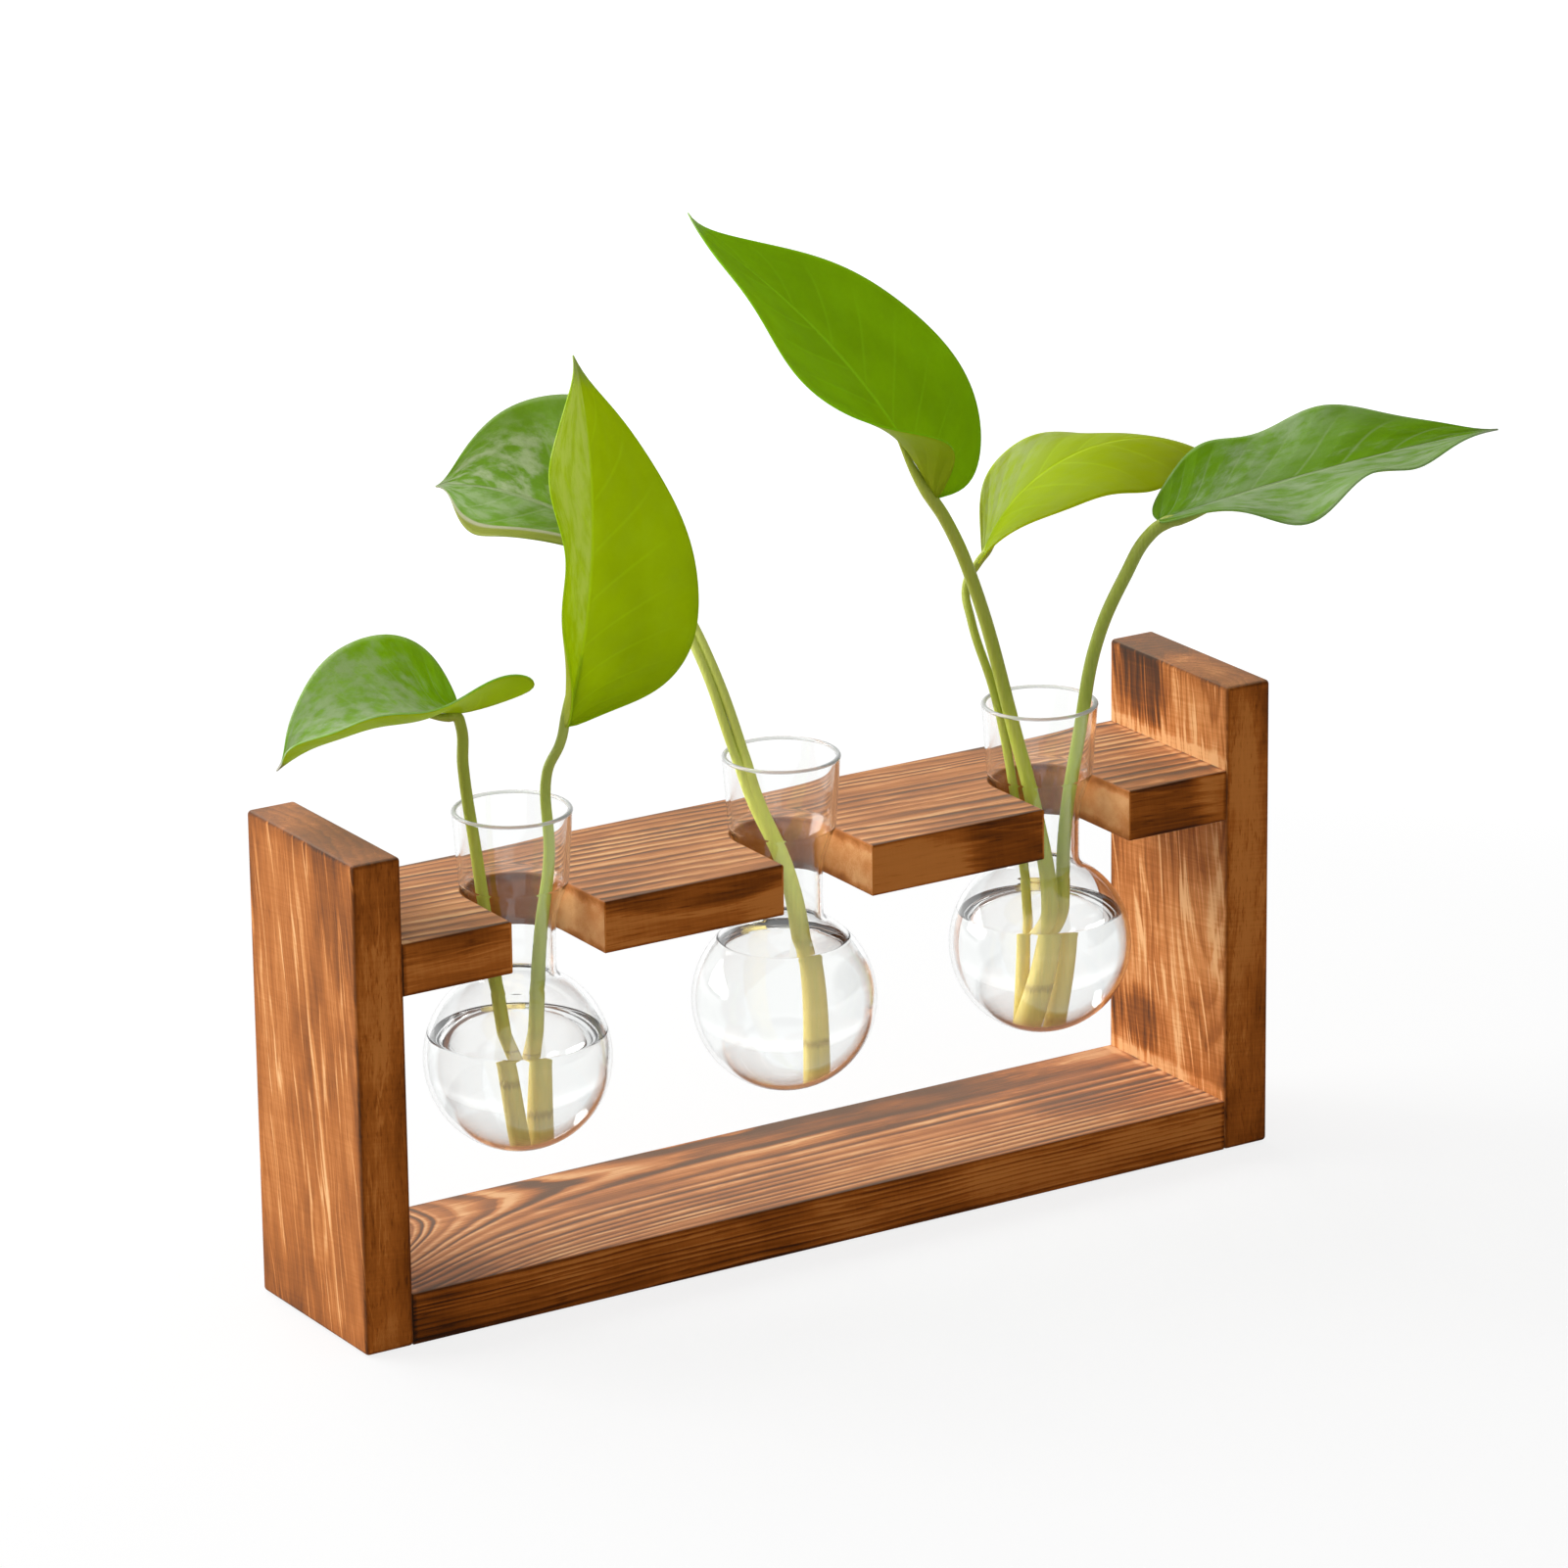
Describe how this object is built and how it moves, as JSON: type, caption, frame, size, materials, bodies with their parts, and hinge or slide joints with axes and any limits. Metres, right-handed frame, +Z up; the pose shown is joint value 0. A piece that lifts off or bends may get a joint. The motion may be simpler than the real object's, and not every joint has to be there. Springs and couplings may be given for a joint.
{
  "type": "propagation vase",
  "caption": "Open wooden rack of torched boards whose notched shelf holds round glass bulb vases in a row, with leafy cuttings standing in them to root in water.",
  "frame": {"origin": "on the floor under the middle of the base board", "axes": "+X along the rack to the right seen from the front, +Y to the back, +Z up"},
  "size_m": [0.3799, 0.1915, 0.2932],
  "materials": {
    "torched_post": "satin",
    "torched_board": "satin",
    "dowel_wood": "matte",
    "clear_glass": "gloss",
    "stem_green": "satin",
    "leaf_mid_green": "satin",
    "leaf_lime": "satin",
    "leaf_deep_green": "satin",
    "leaf_variegated": "satin"
  },
  "bodies": {
    "rack": {"left_side_post": "torched_post", "right_side_post": "torched_post", "base_board": "torched_board", "notched_shelf": "torched_board", "base_left_dowels": "dowel_wood", "base_right_dowels": "dowel_wood", "shelf_left_dowels": "dowel_wood", "shelf_right_dowels": "dowel_wood"},
    "left_vase": {"left_vase": "clear_glass"},
    "middle_vase": {"middle_vase": "clear_glass"},
    "right_vase": {"right_vase": "clear_glass"},
    "left_cuttings": {"left_low_stem": "stem_green", "left_low_leaf": "leaf_mid_green", "left_tall_stem": "stem_green", "left_tall_leaf": "leaf_lime"},
    "middle_cutting": {"middle_stem": "stem_green", "middle_leaf": "leaf_variegated"},
    "right_cuttings": {"right_high_stem": "stem_green", "right_high_leaf": "leaf_mid_green", "right_arched_stem": "stem_green", "right_arched_leaf": "leaf_lime", "right_spread_stem": "stem_green", "right_spread_leaf": "leaf_deep_green"}
  },
  "joints": [
    {"name": "left_vase_draw", "type": "slide", "parent": "rack", "child": "left_vase", "axis": [0, -1, 0], "range_m": [0, 0.065]},
    {"name": "middle_vase_draw", "type": "slide", "parent": "rack", "child": "middle_vase", "axis": [0, -1, 0], "range_m": [0, 0.065]},
    {"name": "right_vase_draw", "type": "slide", "parent": "rack", "child": "right_vase", "axis": [0, -1, 0], "range_m": [0, 0.065]},
    {"name": "left_cuttings_lift", "type": "slide", "parent": "left_vase", "child": "left_cuttings", "axis": [0, 0, 1], "range_m": [0, 0.11]},
    {"name": "middle_cutting_lift", "type": "slide", "parent": "middle_vase", "child": "middle_cutting", "axis": [-0.0846, 0.0527, 0.995], "range_m": [0, 0.11]},
    {"name": "right_cuttings_lift", "type": "slide", "parent": "right_vase", "child": "right_cuttings", "axis": [0, 0, 1], "range_m": [0, 0.11]}
  ]
}
